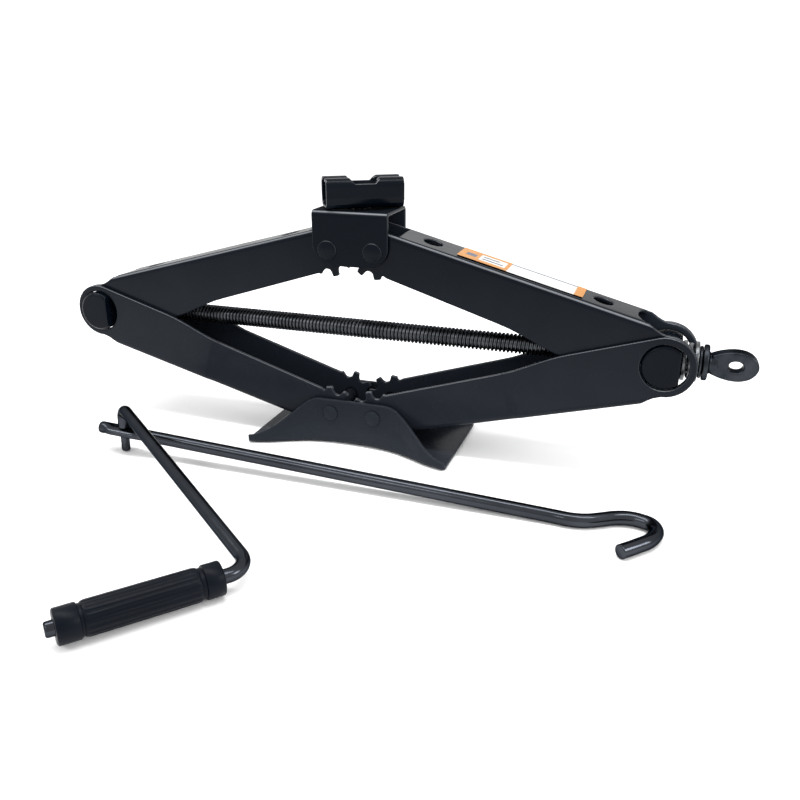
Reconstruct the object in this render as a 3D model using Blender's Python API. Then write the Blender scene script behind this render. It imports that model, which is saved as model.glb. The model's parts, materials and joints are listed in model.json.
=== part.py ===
"""Scissor stabilizer jack with its folding crank handle, as separate parts.

Frame: +X along the lead screw towards its eye, +Y to the back, +Z up. The origin is the
centre of the base, on the floor. Lengths are in metres and angles in degrees.

The linkage is a rhombus of four pressed channel arms. It stands here at ARM_ANGLE, part
way up, and the crank handle lies on the floor in front.
"""

import bpy
import bmesh
import numpy as np
from math import acos, cos, degrees, pi, radians, sin, sqrt, tan
from mathutils import Matrix, Vector

GAP = 0.0003

# Linkage: pin to trunnion length of an arm, half spacing of a pair of gear pins, lift.
ARM_LENGTH = 0.185
PIN_HALF_SPACING = 0.015
ARM_ANGLE = 16.94
BASE_PIN_Z = 0.0217
SPAN = PIN_HALF_SPACING + ARM_LENGTH * cos(radians(ARM_ANGLE))
RISE = ARM_LENGTH * sin(radians(ARM_ANGLE))
SCREW_Z = BASE_PIN_Z + RISE
TOP_PIN_Z = SCREW_Z + RISE

# Arms: pressed channels, the lower pair outside the upper pair.
ARM_SHEET = 0.0025
ARM_BEND = 0.0034
UPPER_HALF_WIDTH = 0.0152
LOWER_HALF_WIDTH = 0.0184
LOWER_JOGGLE = 0.0006
JOGGLE_FROM = 0.089
JOGGLE_TO = 0.096
WEB_AT_TRUNNION = 0.0203
WEB_AT_GEAR = 0.0144
WEB_SLOPE_FROM = 0.0105
WEB_END_S = 0.0187
WEB_END_CURVE = (
    (-0.0010, 0.0), (0.0010, 0.0002), (0.0026, 0.0008), (0.0056, 0.0022), (0.0090, 0.0031),
)
SCOOP_CENTRE = 0.0060
SCOOP_RADIUS = 0.0190
WEB_GEAR_END_S = 0.174
EAR_RADIUS = 0.018
EAR_HOLE = 0.0138
EDGE_WIDE = 0.018
EDGE_NARROW = 0.0134
EDGE_AT_GEAR = 0.0126
RAMP_FROM = 0.052
RAMP_TO = 0.098
WEB_HOLE = 0.006
WEB_HOLES_AT = (0.046, 0.1545)

# Gear sectors at the arms' ends.
TOOTH_TIP = 0.0172
TOOTH_ROOT = 0.0124
GEAR_PIN = 0.0042
GEAR_PIN_HOLE = 0.0045
PHASE_A = (-2.0, 40.0, 82.0, 124.0)
PHASE_B = (-23.0, 19.0, 61.0, 103.0, 145.0)

# Base: a stamped saddle with two upright flanges that flare into four toes.
BASE_SHEET = 0.0025
BASE_HALF_LENGTH = 0.0696
BASE_HALF_WIDTH = 0.0214
BASE_CORNER = 0.0060
BASE_FOOT = 0.0402
BASE_FOOT_EDGE = (
    (0.0, 0.0226), (0.012, 0.0231), (0.028, 0.0260), (0.044, 0.0325), (0.058, 0.0386),
    (0.0696, 0.0402),
)
BASE_TOP_EDGE = (
    (0.022, 0.0312), (0.030, 0.0293), (0.038, 0.0228), (0.045, 0.0172), (0.052, 0.0118),
    (0.060, 0.0078), (0.0696, 0.0056),
)
BASE_TOP_OUT = (
    (0.022, 0.0214), (0.030, 0.0218), (0.038, 0.0240), (0.046, 0.0285), (0.056, 0.0346),
    (0.0696, 0.0398),
)

# Top bracket, an upside-down channel, and the saddle that swivels on its dome.
BRACKET_SHEET = 0.0022
BRACKET_HALF_LENGTH = 0.025
BRACKET_HALF_WIDTH = 0.0178
BRACKET_TOP = TOP_PIN_Z + 0.0246
BRACKET_BOTTOM = TOP_PIN_Z - 0.0095
BRACKET_CORNER = 0.013
DISH = 0.0008
SADDLE_TURN = 31.5
SADDLE_OFFSET = 0.0024
SADDLE_HALF_LENGTH = 0.0242
SADDLE_SHEET = 0.0020
SADDLE_HALF_WIDTH = 0.0110
SADDLE_HEIGHT = 0.0186
SADDLE_ROLL = 0.0050
SADDLE_NOTCH_TOP = 0.0094
SADDLE_NOTCH_BOTTOM = 0.0063
SADDLE_NOTCH_DEPTH = 0.0036

# Screw, nut, trunnion block and thrust bearing.
SCREW_RADIUS = 0.006
SCREW_HOLE = 0.0063
NUT_RADIUS = 0.0134
NUT_HALF_LENGTH = 0.0222
NUT_FLAT = 0.0080
BLOCK_RADIUS = 0.0132
BLOCK_HALF_LENGTH = 0.0184
BLOCK_FLAT = 0.0086
RACE_RADIUS = 0.0119
RACE_THICKNESS = 0.0024
BALL_RADIUS = 0.0019
BALL_CIRCLE = 0.0091
BALLS = 10
WASHER_RADIUS = 0.0095
WASHER_THICKNESS = 0.0018
COLLAR_RADIUS = 0.0106
COLLAR_THICKNESS = 0.0032
NECK_RADIUS = 0.0058
EYE_CENTRE = 0.0386
EYE_THICKNESS = 0.0090
EYE_NECK_END = 0.0128
EYE_HOLE_HALF_LENGTH = 0.0053
EYE_HOLE_HALF_HEIGHT = 0.0043
EYE_EDGE = (
    (-0.0136, 0.0054), (-0.0090, 0.0071), (-0.0045, 0.0084), (0.0000, 0.0090),
    (0.0040, 0.0086), (0.0080, 0.0069), (0.0108, 0.0043), (0.0122, 0.0018),
)
SCREW_LEFT_END = 0.0160

# Label on the upper right arm's web.
LABEL_FROM = 0.058
LABEL_TO = 0.1365
LABEL_THICKNESS = 0.0003
LABEL_FRONT = 0.0100
LABEL_REAR = 0.0110

# Crank handle on the floor: rod with a hook, crank lever and grip.
ROD_RADIUS = 0.004
EYE_POINT = Vector((-0.1373, -0.0775, 0.0146))
HOOK_START = Vector((0.1403, -0.0792, 0.0040))
HOOK_ROUTE = (
    (0.1508, -0.0801), (0.1573, -0.0797), (0.1635, -0.0777), (0.1696, -0.0742),
    (0.1757, -0.0706), (0.1820, -0.0686), (0.1888, -0.0690), (0.1955, -0.0722),
    (0.1983, -0.0796), (0.1955, -0.0890), (0.1895, -0.0964), (0.1818, -0.1048),
)
ROD_STUB = 0.0180
EYE_WIDTH = 0.0064
EYE_FLAT = 0.0030
EYE_LENGTH = 0.0095
LEVER_RADIUS = 0.0037
PIN_RADIUS = 0.0028
PIN_HOLE = 0.0031
LEVER_LENGTH = 0.1845
LEVER_RISE = 0.0180
LEVER_HEADING = -35.4
LEVER_DROP = 7.44
LEVER_BEND = 0.0080
GRIP_BEND = 0.0112
GRIP_HEADING = -130.2
GRIP_RADIUS = 0.0085
GRIP_WAIST = 0.0083
GRIP_GROOVE = 0.0076
GRIP_START = 0.0154
GRIP_LENGTH = 0.0755
GRIP_STUB = 0.0040
SHOULDER = 0.0038
PIN_BELOW = 0.0141


def clear_scene():
    for obj in list(bpy.data.objects):
        bpy.data.objects.remove(obj, do_unlink=True)


def material(name, colour, roughness, metallic=0.0):
    made = bpy.data.materials.new(name)
    made.use_nodes = True
    shader = made.node_tree.nodes["Principled BSDF"]
    shader.inputs["Base Color"].default_value = (*colour, 1.0)
    shader.inputs["Roughness"].default_value = roughness
    shader.inputs["Metallic"].default_value = metallic
    made.diffuse_color = (*colour, 1.0)
    return made


def put(name, mesh, finish, parent=None):
    """A new object of the mesh, in the frame of its parent."""
    obj = bpy.data.objects.new(name, mesh)
    bpy.context.scene.collection.objects.link(obj)
    if finish is not None:
        mesh.materials.append(finish)
    if parent is not None:
        obj.parent = parent
    return obj


def pivot(name, at, turn=None):
    """An empty on a joint's axis, which holds the frame of the pieces that move with it."""
    empty = bpy.data.objects.new(name, None)
    empty.empty_display_size = 0.02
    bpy.context.scene.collection.objects.link(empty)
    empty.matrix_world = Matrix.Translation(Vector(at)) @ (turn or Matrix.Identity(4))
    return empty


def mesh_of(name, bm, smooth_angle=30.0):
    bmesh.ops.recalc_face_normals(bm, faces=bm.faces)
    mesh = bpy.data.meshes.new(name)
    bm.to_mesh(mesh)
    bm.free()
    mesh.shade_smooth()
    mesh.set_sharp_from_angle(angle=radians(smooth_angle))
    return mesh


def prism(name, outline, low, high, axis="Y"):
    """A closed outline of (x, z) points pushed from low to high along Y, or of (x, y) along Z."""
    bm = bmesh.new()
    rings = []
    for level in (low, high):
        if axis == "Y":
            rings.append([bm.verts.new((x, level, z)) for x, z in outline])
        elif axis == "Z":
            rings.append([bm.verts.new((x, y, level)) for x, y in outline])
        else:
            rings.append([bm.verts.new((level, y, z)) for y, z in outline])
    bm.faces.new(rings[0])
    bm.faces.new(rings[1])
    for i in range(len(outline)):
        j = (i + 1) % len(outline)
        bm.faces.new((rings[0][i], rings[0][j], rings[1][j], rings[1][i]))
    return mesh_of(name, bm)


def arc(centre, radius, start, end, steps):
    """Points on a circle from one angle to another, in degrees, both ends among them."""
    angles = np.radians(np.linspace(start, end, steps + 1))
    return [(centre[0] + radius * cos(a), centre[1] + radius * sin(a)) for a in angles]


def circle(centre, radius, steps=32):
    return arc(centre, radius, 0, 360, steps)[:-1]


def turned(name, profile, axis, steps=40):
    """A closed solid of revolution. The profile runs as (along, radius) pairs, axis to axis."""
    bm = bmesh.new()
    rings = []
    for along, radius in profile:
        if radius == 0:
            rings.append([bm.verts.new(turned_point(axis, along, 0, 0))])
        else:
            angles = [2 * pi * k / steps for k in range(steps)]
            rings.append([
                bm.verts.new(turned_point(axis, along, radius * cos(a), radius * sin(a)))
                for a in angles
            ])
    for first, second in zip(rings, rings[1:]):
        join_rings(bm, first, second)
    if len(rings[0]) > 1:
        join_rings(bm, rings[-1], rings[0])
    return mesh_of(name, bm)


def turned_point(axis, along, u, v):
    return {"X": (along, u, v), "Y": (u, along, v), "Z": (u, v, along)}[axis]


def join_rings(bm, first, second):
    count = max(len(first), len(second))
    for i in range(count):
        j = (i + 1) % count
        if len(first) == 1:
            bm.faces.new((first[0], second[i], second[j]))
        elif len(second) == 1:
            bm.faces.new((first[i], first[j], second[0]))
        else:
            bm.faces.new((first[i], first[j], second[j], second[i]))


def cut(obj, cutter_mesh, operation="DIFFERENCE"):
    """Takes the cutter's shape from the object. The cutter stays as a hidden guide."""
    cutter = put(f"cut_{obj.name}_{len(obj.modifiers)}", cutter_mesh, None)
    cutter.parent = obj
    cutter.hide_render = True
    cutter.display_type = "WIRE"
    step = obj.modifiers.new(f"cut_{len(obj.modifiers)}", "BOOLEAN")
    step.operation = operation
    step.solver = "EXACT"
    step.object = cutter
    return cutter


def sweep(name, route, radius, steps=16, scale=None):
    """A round bar along the route's points, with flat ends. scale gives (across, thick) factors."""
    points = [Vector(p) for p in route]
    bm = bmesh.new()
    rings = []
    side = None
    for i, point in enumerate(points):
        before = points[max(i - 1, 0)]
        after = points[min(i + 1, len(points) - 1)]
        ahead = (after - before).normalized()
        if side is None:
            up = Vector((0, 0, 1)) if abs(ahead.z) < 0.9 else Vector((0, 1, 0))
            side = up.cross(ahead).normalized()
        side = (side - ahead * side.dot(ahead)).normalized()
        lift = ahead.cross(side)
        across, thick = scale(i) if scale else (1.0, 1.0)
        rings.append([
            bm.verts.new(
                point
                + side * (radius * across * cos(2 * pi * k / steps))
                + lift * (radius * thick * sin(2 * pi * k / steps))
            )
            for k in range(steps)
        ])
    for first, second in zip(rings, rings[1:]):
        join_rings(bm, first, second)
    bm.faces.new(rings[0])
    bm.faces.new(rings[-1])
    return mesh_of(name, bm)


def rounded_corner(before, corner, after, radius, steps):
    """Points of the arc that rounds a corner between two straight runs."""
    to_before = (before - corner).normalized()
    to_after = (after - corner).normalized()
    half = to_before.angle(to_after) / 2
    reach = radius / tan(half)
    middle = (to_before + to_after).normalized()
    centre = corner + middle * (radius / sin(half))
    start = corner + to_before * reach - centre
    end = corner + to_after * reach - centre
    total = start.angle(end)
    return [
        centre + (start * sin(total * (1 - k / steps)) + end * sin(total * k / steps)) / sin(total)
        for k in range(steps + 1)
    ]


def thicken(obj, sheet, outer_side):
    """Gives a pressed surface its thickness. Its web's outer side faces up (+1) or down (-1)."""
    lift = sum(face.normal.z * face.area for face in obj.data.polygons)
    if lift * outer_side < 0:
        obj.data.flip_normals()
    thick = obj.modifiers.new("sheet", "SOLIDIFY")
    thick.thickness = sheet
    thick.offset = -1.0
    thick.use_even_offset = True


def smooth_step(value):
    value = min(max(value, 0.0), 1.0)
    return value * value * (3 - 2 * value)


# --- Arms -------------------------------------------------------------------------------


def web_height(s):
    """Outer face of an arm's web over the line from trunnion (s = 0) to gear pin."""
    share = (s - WEB_SLOPE_FROM) / (ARM_LENGTH - WEB_SLOPE_FROM)
    return WEB_AT_TRUNNION + (WEB_AT_GEAR - WEB_AT_TRUNNION) * share


def channel(name, half_width, joggle):
    """A straight channel longer than the arm, web outwards at +Z, to be trimmed to its outline."""
    stations = [-0.03]
    if joggle:
        stations += [JOGGLE_FROM, JOGGLE_TO]
    stations.append(ARM_LENGTH + 0.03)
    bm = bmesh.new()
    rings = []
    inner_bend = ARM_BEND - ARM_SHEET
    for s in stations:
        y = half_width - (joggle if s >= JOGGLE_TO else 0.0)
        z = web_height(s)
        outer = [(y, -0.03)] + arc((y - ARM_BEND, z - ARM_BEND), ARM_BEND, 0, 90, 4)
        inner = arc((y - ARM_BEND, z - ARM_BEND), inner_bend, 90, 0, 3)
        inner.append((y - ARM_SHEET, -0.03))
        left = [(-py, pz) for py, pz in reversed(outer)]
        left_inner = [(-py, pz) for py, pz in reversed(inner)]
        ring = outer + left + left_inner + inner
        rings.append([bm.verts.new((s, py, pz)) for py, pz in ring])
    for first, second in zip(rings, rings[1:]):
        join_rings(bm, first, second)
    bm.faces.new(rings[0])
    bm.faces.new(rings[-1])
    return mesh_of(name, bm)


def arm_outline():
    """Side view of an arm: round ear, ramped free edge, gear head and web edge."""
    points = arc((0, 0), EAR_RADIUS, 72, 270, 20)
    steps = 8
    for k in range(steps + 1):
        s = RAMP_FROM + (RAMP_TO - RAMP_FROM) * k / steps
        points.append((s, -EDGE_WIDE + (EDGE_WIDE - EDGE_NARROW) * smooth_step(k / steps)))
    meet = degrees(acos(EDGE_AT_GEAR / TOOTH_TIP))
    web_meet = degrees(acos(WEB_AT_GEAR / TOOTH_TIP))
    points += arc((ARM_LENGTH, 0), TOOTH_TIP, 270 - meet, 450 + web_meet, 22)
    for back, down in WEB_END_CURVE:
        s = WEB_END_S - back
        points.append((s, web_height(s) - down))
    return points


def gap_outline(angle, root, share):
    """One tooth gap, round at its root, centred at angle from the arm's inner side."""
    half_widths = (
        (0.0, 0.0010), (0.0003, 0.0017), (0.0010, 0.0024), (0.0020, 0.0030),
        (0.0034, 0.0037), (0.0042, 0.0042), (0.0047, 0.0050), (0.0052, 0.0062),
    )
    side = [(root + rise * share, half * share) for rise, half in half_widths]
    both = side + [(r, -half) for r, half in reversed(side)]
    turn = radians(angle - 90)
    return [
        (ARM_LENGTH + r * cos(turn) - h * sin(turn), r * sin(turn) + h * cos(turn))
        for r, h in both
    ]


def gap_cutter(name, low, high, gaps):
    bm = bmesh.new()
    for angle, root, share in gaps:
        outline = gap_outline(angle, root, share)
        rings = [[bm.verts.new((x, y, z)) for x, z in outline] for y in (low, high)]
        bm.faces.new(rings[0])
        bm.faces.new(rings[1])
        join_rings(bm, rings[0], rings[1])
    return mesh_of(name, bm)


def arm(name, half_width, joggle, parent, origin_s, finish, web_holes):
    """One pressed arm. The parent's frame has X from trunnion to gear pin and Z outwards."""
    obj = put(name, channel(name, half_width, joggle), finish, parent)
    obj.location = (-origin_s, 0, 0)
    inside = half_width - ARM_SHEET
    cut(obj, prism("outline", arm_outline(), -0.03, 0.03), "INTERSECT")
    scoop = circle((SCOOP_CENTRE, 0), SCOOP_RADIUS, 40)
    inner = inside - joggle
    scoop = [(x, max(-inside, min(inside, y))) for x, y in scoop]
    cut(obj, prism("scoop", tidy(scoop), 0.0, 0.03, "Z"))
    end = [
        (WEB_GEAR_END_S, -inner), (ARM_LENGTH + 0.03, -inner),
        (ARM_LENGTH + 0.03, inner), (WEB_GEAR_END_S, inner),
    ]
    cut(obj, prism("gear_end", end, 0.002, 0.03, "Z"))
    wide = 0.03
    gaps_b = [(angle, TOOTH_ROOT, 1.0) for angle in PHASE_B]
    gaps_a = [(-37.0, 0.0153, 0.4)] + [(angle, TOOTH_ROOT, 1.0) for angle in PHASE_A]
    cut(obj, gap_cutter("gaps_b", -wide, -0.005, gaps_b))
    cut(obj, gap_cutter("gaps_a", 0.005, wide, gaps_a))
    cut(obj, prism("ear_hole", circle((0, 0), EAR_HOLE, 48), -wide, wide))
    cut(obj, prism("pin_hole", circle((ARM_LENGTH, 0), GEAR_PIN_HOLE, 24), -wide, wide))
    for s in web_holes:
        cut(obj, prism("web_hole", circle((s, 0), WEB_HOLE, 28), 0.005, 0.03, "Z"))
    return obj


def tidy(points):
    """The outline without the points that repeat their neighbour."""
    kept = []
    for point in points:
        if not kept or sqrt((point[0] - kept[-1][0]) ** 2 + (point[1] - kept[-1][1]) ** 2) > 1e-5:
            kept.append(point)
    return kept


def arm_frame(side, upper):
    """Axes of an arm from its trunnion: X to the gear pin, Z outwards. side is -1 or +1."""
    lift = 1 if upper else -1
    angle = radians(ARM_ANGLE)
    ahead = Vector((-side * cos(angle), 0, lift * sin(angle)))
    out = Vector((side * sin(angle), 0, lift * cos(angle)))
    across = out.cross(ahead)
    turn = Matrix((ahead, across, out)).transposed()
    return turn.to_4x4()


# --- Base -------------------------------------------------------------------------------


def eased(value, points):
    """A smooth curve through (position, height) points, level at both ends."""
    value = min(max(value, points[0][0]), points[-1][0])
    for (a, low), (b, high) in zip(points, points[1:]):
        if value <= b:
            break
    index = points.index((a, low))
    slopes = []
    for k in (index, index + 1):
        if k == 0 or k == len(points) - 1:
            slopes.append(0.0)
        else:
            rise = points[k + 1][1] - points[k - 1][1]
            slopes.append(rise / (points[k + 1][0] - points[k - 1][0]))
    t = (value - a) / (b - a)
    wide = b - a
    return (
        low * (1 + 2 * t) * (1 - t) ** 2 + high * t * t * (3 - 2 * t)
        + slopes[0] * wide * t * (1 - t) ** 2 - slopes[1] * wide * t * t * (1 - t)
    )


def base_station(x):
    """Half of the base's section at x: the foot's half width, then two points up the flange."""
    far = abs(x)
    foot = eased(far, BASE_FOOT_EDGE)
    height = eased(far, BASE_TOP_EDGE)
    out = eased(far, BASE_TOP_OUT)
    upright = smooth_step((height - 0.010) / 0.016)
    knee = (out + (foot - out) * (0.6 - 0.48 * upright), height * 0.42)
    return foot, knee, (out, height)


def base_plate(finish):
    """A sheet laid through its stations, then thickened inwards."""
    stations = 36
    bend = 0.0055
    bm = bmesh.new()
    rows = []
    for i in range(stations + 1):
        x = BASE_HALF_LENGTH * (2 * i / stations - 1)
        foot, knee, rim = base_station(x)
        corner = Vector((foot, 0.0))
        wall = Vector(knee) - corner
        reach = min(bend, 0.75 * (Vector(rim) - corner).length)
        a = Vector((foot - reach, 0.0))
        b = corner + wall.normalized() * reach
        half = [(0.0, 0.0), (foot * 0.5, 0.0), tuple(a)]
        for k in range(1, 5):
            t = k / 4
            half.append(tuple(a * (1 - t) ** 2 + corner * 2 * t * (1 - t) + b * t * t))
        turn_in = Vector(knee).lerp(Vector(rim), 0.2)
        if turn_in.y - b.y > 0.0015:
            half.append(tuple(b.lerp(turn_in, 0.9)))
        else:
            half.append(tuple(b.lerp(Vector(rim), 0.33)))
        half.append(tuple(Vector(half[-1]).lerp(Vector(rim), 0.5)))
        half.append(rim)
        row = [(-y, z) for y, z in reversed(half[1:])] + half
        rows.append([bm.verts.new((x, y, z)) for y, z in row])
    for first, second in zip(rows, rows[1:]):
        for j in range(len(first) - 1):
            bm.faces.new((first[j], first[j + 1], second[j + 1], second[j]))
    obj = put("base_plate", mesh_of("base_plate", bm), finish)
    thicken(obj, BASE_SHEET, outer_side=-1)
    plan = rounded_rectangle(BASE_HALF_LENGTH - 0.0002, BASE_FOOT + 0.0012, BASE_CORNER)
    cut(obj, prism("plan", plan, -0.01, 0.05, "Z"), "INTERSECT")
    for side in (-1, 1):
        hole = circle((side * PIN_HALF_SPACING, BASE_PIN_Z), GEAR_PIN_HOLE, 24)
        cut(obj, prism("pin_hole", hole, -0.05, 0.05))
    return obj


def rounded_rectangle(half_length, half_width, radius):
    x = half_length - radius
    y = half_width - radius
    corners = (((x, y), 0), ((-x, y), 90), ((-x, -y), 180), ((x, -y), 270))
    return [point for centre, start in corners for point in arc(centre, radius, start, start + 90, 6)]


def pivot_pin(name, at, half_grip, head_radius, head_height, finish, parent=None):
    """A rivet through both flanges, with a domed head on each side."""
    rim = 0.0003
    dome = [
        (rim + head_height * (1 - (k / 5) ** 2), head_radius * k / 5) for k in range(5, 0, -1)
    ]
    top = half_grip + rim + head_height
    profile = [(-top, 0.0)]
    profile += [(-half_grip - h, r) for h, r in reversed(dome)]
    profile += [(-half_grip, head_radius), (-half_grip, GEAR_PIN), (half_grip, GEAR_PIN)]
    profile += [(half_grip, head_radius)] + [(half_grip + h, r) for h, r in dome]
    profile.append((top, 0.0))
    obj = put(name, turned(name, profile, "Y", 28), finish, parent)
    obj.location = at
    return obj


# --- Top bracket and saddle -------------------------------------------------------------


def bracket_top(x, y):
    """How far the dished middle of the bracket's top lies below its rims."""
    edge = max(abs(x) / BRACKET_HALF_LENGTH, abs(y) / BRACKET_HALF_WIDTH)
    return -DISH * (1 - smooth_step((edge - 0.55) / 0.4))


def top_bracket(finish, parent):
    columns = 20
    rows_across = 14
    bend = 0.0030
    bm = bmesh.new()
    rows = []
    for i in range(columns + 1):
        x = BRACKET_HALF_LENGTH * (2 * i / columns - 1)
        flat = BRACKET_HALF_WIDTH - bend
        row = [(-BRACKET_HALF_WIDTH, BRACKET_BOTTOM - 0.002)]
        row += [
            (-p, BRACKET_TOP - bend + q) for p, q in arc((flat, 0.0), bend, 0, 90, 5)
        ]
        inner = np.linspace(-flat, flat, rows_across + 1)[1:-1]
        row += [(y, BRACKET_TOP + bracket_top(x, y)) for y in inner]
        row += [
            (p, BRACKET_TOP - bend + q) for p, q in arc((flat, 0.0), bend, 90, 0, 5)
        ]
        row.append((BRACKET_HALF_WIDTH, BRACKET_BOTTOM - 0.002))
        rows.append([bm.verts.new((x, y, z)) for y, z in row])
    for first, second in zip(rows, rows[1:]):
        for j in range(len(first) - 1):
            bm.faces.new((first[j], first[j + 1], second[j + 1], second[j]))
    obj = put("top_bracket", mesh_of("top_bracket", bm), finish)
    thicken(obj, BRACKET_SHEET, outer_side=1)
    low = BRACKET_BOTTOM + BRACKET_CORNER
    wide = BRACKET_HALF_LENGTH
    outline = [(-wide - 0.01, BRACKET_TOP + 0.01), (-wide - 0.01, low), (-wide, low)]
    outline += arc((-wide + BRACKET_CORNER, low), BRACKET_CORNER, 180, 270, 8)[1:]
    outline += arc((wide - BRACKET_CORNER, low), BRACKET_CORNER, 270, 360, 8)
    outline += [(wide + 0.01, low), (wide + 0.01, BRACKET_TOP + 0.01)]
    cut(obj, prism("outline", outline, -0.03, 0.03), "INTERSECT")
    for side in (-1, 1):
        hole = circle((side * PIN_HALF_SPACING, TOP_PIN_Z), GEAR_PIN_HOLE, 24)
        cut(obj, prism("pin_hole", hole, -0.03, 0.03))
    hole = circle((0, 0), 0.0033, 20)
    cut(obj, prism("rivet_hole", hole, BRACKET_TOP - 0.02, BRACKET_TOP + 0.02, "Z"))
    keep_world(obj, parent)
    return obj


def keep_world(obj, parent):
    """Hangs the object on its pivot without moving it."""
    bpy.context.view_layer.update()
    obj.parent = parent
    obj.matrix_parent_inverse = parent.matrix_world.inverted()


def saddle_section():
    """Cross-section of the saddle: flat seat, bulged walls, top lips rolled inwards.

    The lips turn in steps of 180 / 13 degrees, so their crests are flat and level.
    """
    t = SADDLE_SHEET
    w = SADDLE_HALF_WIDTH
    roll = (w - SADDLE_ROLL, SADDLE_HEIGHT - SADDLE_ROLL)
    outer = [(0.0, 0.0), (0.0055, 0.0), (0.0086, 0.0010), (0.0103, 0.0030), (w, 0.0065)]
    lip_end = 9 * 180 / 13
    outer += arc(roll, SADDLE_ROLL, 0, lip_end, 9)
    lip = arc(roll, SADDLE_ROLL - t, lip_end, 0, 7)
    inner = [(w - t, 0.0069), (0.0085, 0.0045), (0.0076, 0.0030), (0.0053, t), (0.0, t)]
    return outer + lip + inner


def saddle(finish, parent):
    stations = 4
    bm = bmesh.new()
    rings = []
    half = saddle_section()
    full = half + [(-y, z) for y, z in reversed(half[1:-1])]
    for i in range(stations + 1):
        x = SADDLE_HALF_LENGTH * (2 * i / stations - 1)
        rings.append([bm.verts.new((x, y, z)) for y, z in full])
    for first, second in zip(rings, rings[1:]):
        join_rings(bm, first, second)
    bm.faces.new(rings[0])
    bm.faces.new(rings[-1])
    obj = put("saddle", mesh_of("saddle", bm), finish, parent)
    obj.location = (SADDLE_OFFSET, 0, BRACKET_TOP + GAP)
    notch = [
        (-SADDLE_NOTCH_TOP - 0.002, SADDLE_HEIGHT + 0.002), (-SADDLE_NOTCH_TOP, SADDLE_HEIGHT),
        (-SADDLE_NOTCH_BOTTOM, SADDLE_HEIGHT - SADDLE_NOTCH_DEPTH),
        (SADDLE_NOTCH_BOTTOM, SADDLE_HEIGHT - SADDLE_NOTCH_DEPTH),
        (SADDLE_NOTCH_TOP, SADDLE_HEIGHT), (SADDLE_NOTCH_TOP + 0.002, SADDLE_HEIGHT + 0.002),
    ]
    cut(obj, prism("notch", notch, -0.02, 0.02))
    hole = circle((-SADDLE_OFFSET, 0), 0.0033, 20)
    cut(obj, prism("rivet_hole", hole, -0.01, 0.012, "Z"))
    return obj


def saddle_rivet(finish, parent):
    seat = BRACKET_TOP + SADDLE_SHEET + 2 * GAP
    under = BRACKET_TOP - DISH - BRACKET_SHEET - GAP
    profile = [
        (under - 0.0020, 0.0), (under - 0.0020, 0.0040), (under - 0.0012, 0.0052),
        (under, 0.0054), (under, 0.0030), (seat, 0.0030), (seat, 0.0056),
        (seat + 0.0010, 0.0050), (seat + 0.0018, 0.0032), (seat + 0.0020, 0.0),
    ]
    return put("saddle_rivet", turned("saddle_rivet", profile, "Z", 24), finish, parent)


# --- Screw line -------------------------------------------------------------------------


def trunnion_nut(finish, parent):
    """Threaded D-shaped barrel on the left trunnion axis, its flat towards the screw."""
    chamfer = 0.0016
    r = NUT_RADIUS
    h = NUT_HALF_LENGTH
    profile = [(-h, 0), (-h, r - chamfer), (-h + chamfer, r), (h - chamfer, r), (h, r - chamfer), (h, 0)]
    obj = put("trunnion_nut", turned("trunnion_nut", profile, "Y", 48), finish, parent)
    flat = [(NUT_FLAT, -0.03), (0.03, -0.03), (0.03, 0.03), (NUT_FLAT, 0.03)]
    cut(obj, prism("flat", flat, -0.03, 0.03))
    cut(obj, prism("screw_hole", circle((0, 0), SCREW_HOLE, 32), -0.03, 0.03, "X"))
    return obj


def trunnion_block(finish, parent):
    """D-shaped barrel on the right trunnion axis, its flat towards the eye."""
    chamfer = 0.0012
    r = BLOCK_RADIUS
    h = BLOCK_HALF_LENGTH
    profile = [(-h, 0), (-h, r - chamfer), (-h + chamfer, r), (h - chamfer, r), (h, r - chamfer), (h, 0)]
    obj = put("trunnion_block", turned("trunnion_block", profile, "Y", 48), finish, parent)
    flat = [(BLOCK_FLAT, -0.03), (0.03, -0.03), (0.03, 0.03), (BLOCK_FLAT, 0.03)]
    cut(obj, prism("flat", flat, -0.03, 0.03))
    cut(obj, prism("screw_hole", circle((0, 0), SCREW_HOLE, 32), -0.03, 0.03, "X"))
    return obj


def ring(name, start, thickness, radius, hole, finish, parent):
    edge = 0.0004
    profile = [
        (start, hole), (start, radius - edge), (start + edge, radius),
        (start + thickness - edge, radius), (start + thickness, radius - edge),
        (start + thickness, hole),
    ]
    return put(name, turned(name, profile, "X", 36), finish, parent)


def ball_cage(start, finish, parent):
    """The thrust bearing's cage with its balls, as one piece."""
    middle = start + BALL_RADIUS
    half = 0.0007
    inner = BALL_CIRCLE - 0.0015
    outer = BALL_CIRCLE + 0.0015
    profile = [(middle - half, inner), (middle - half, outer), (middle + half, outer), (middle + half, inner)]
    obj = put("ball_cage", turned("ball_cage", profile, "X", 40), finish, parent)
    for k in range(BALLS):
        angle = 2 * pi * (k + 0.5) / BALLS
        bm = bmesh.new()
        bmesh.ops.create_icosphere(bm, subdivisions=2, radius=BALL_RADIUS)
        at = Vector((middle, BALL_CIRCLE * cos(angle), BALL_CIRCLE * sin(angle)))
        bmesh.ops.translate(bm, verts=bm.verts, vec=at)
        cut(obj, mesh_of("ball", bm), "UNION")
    return obj


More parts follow.
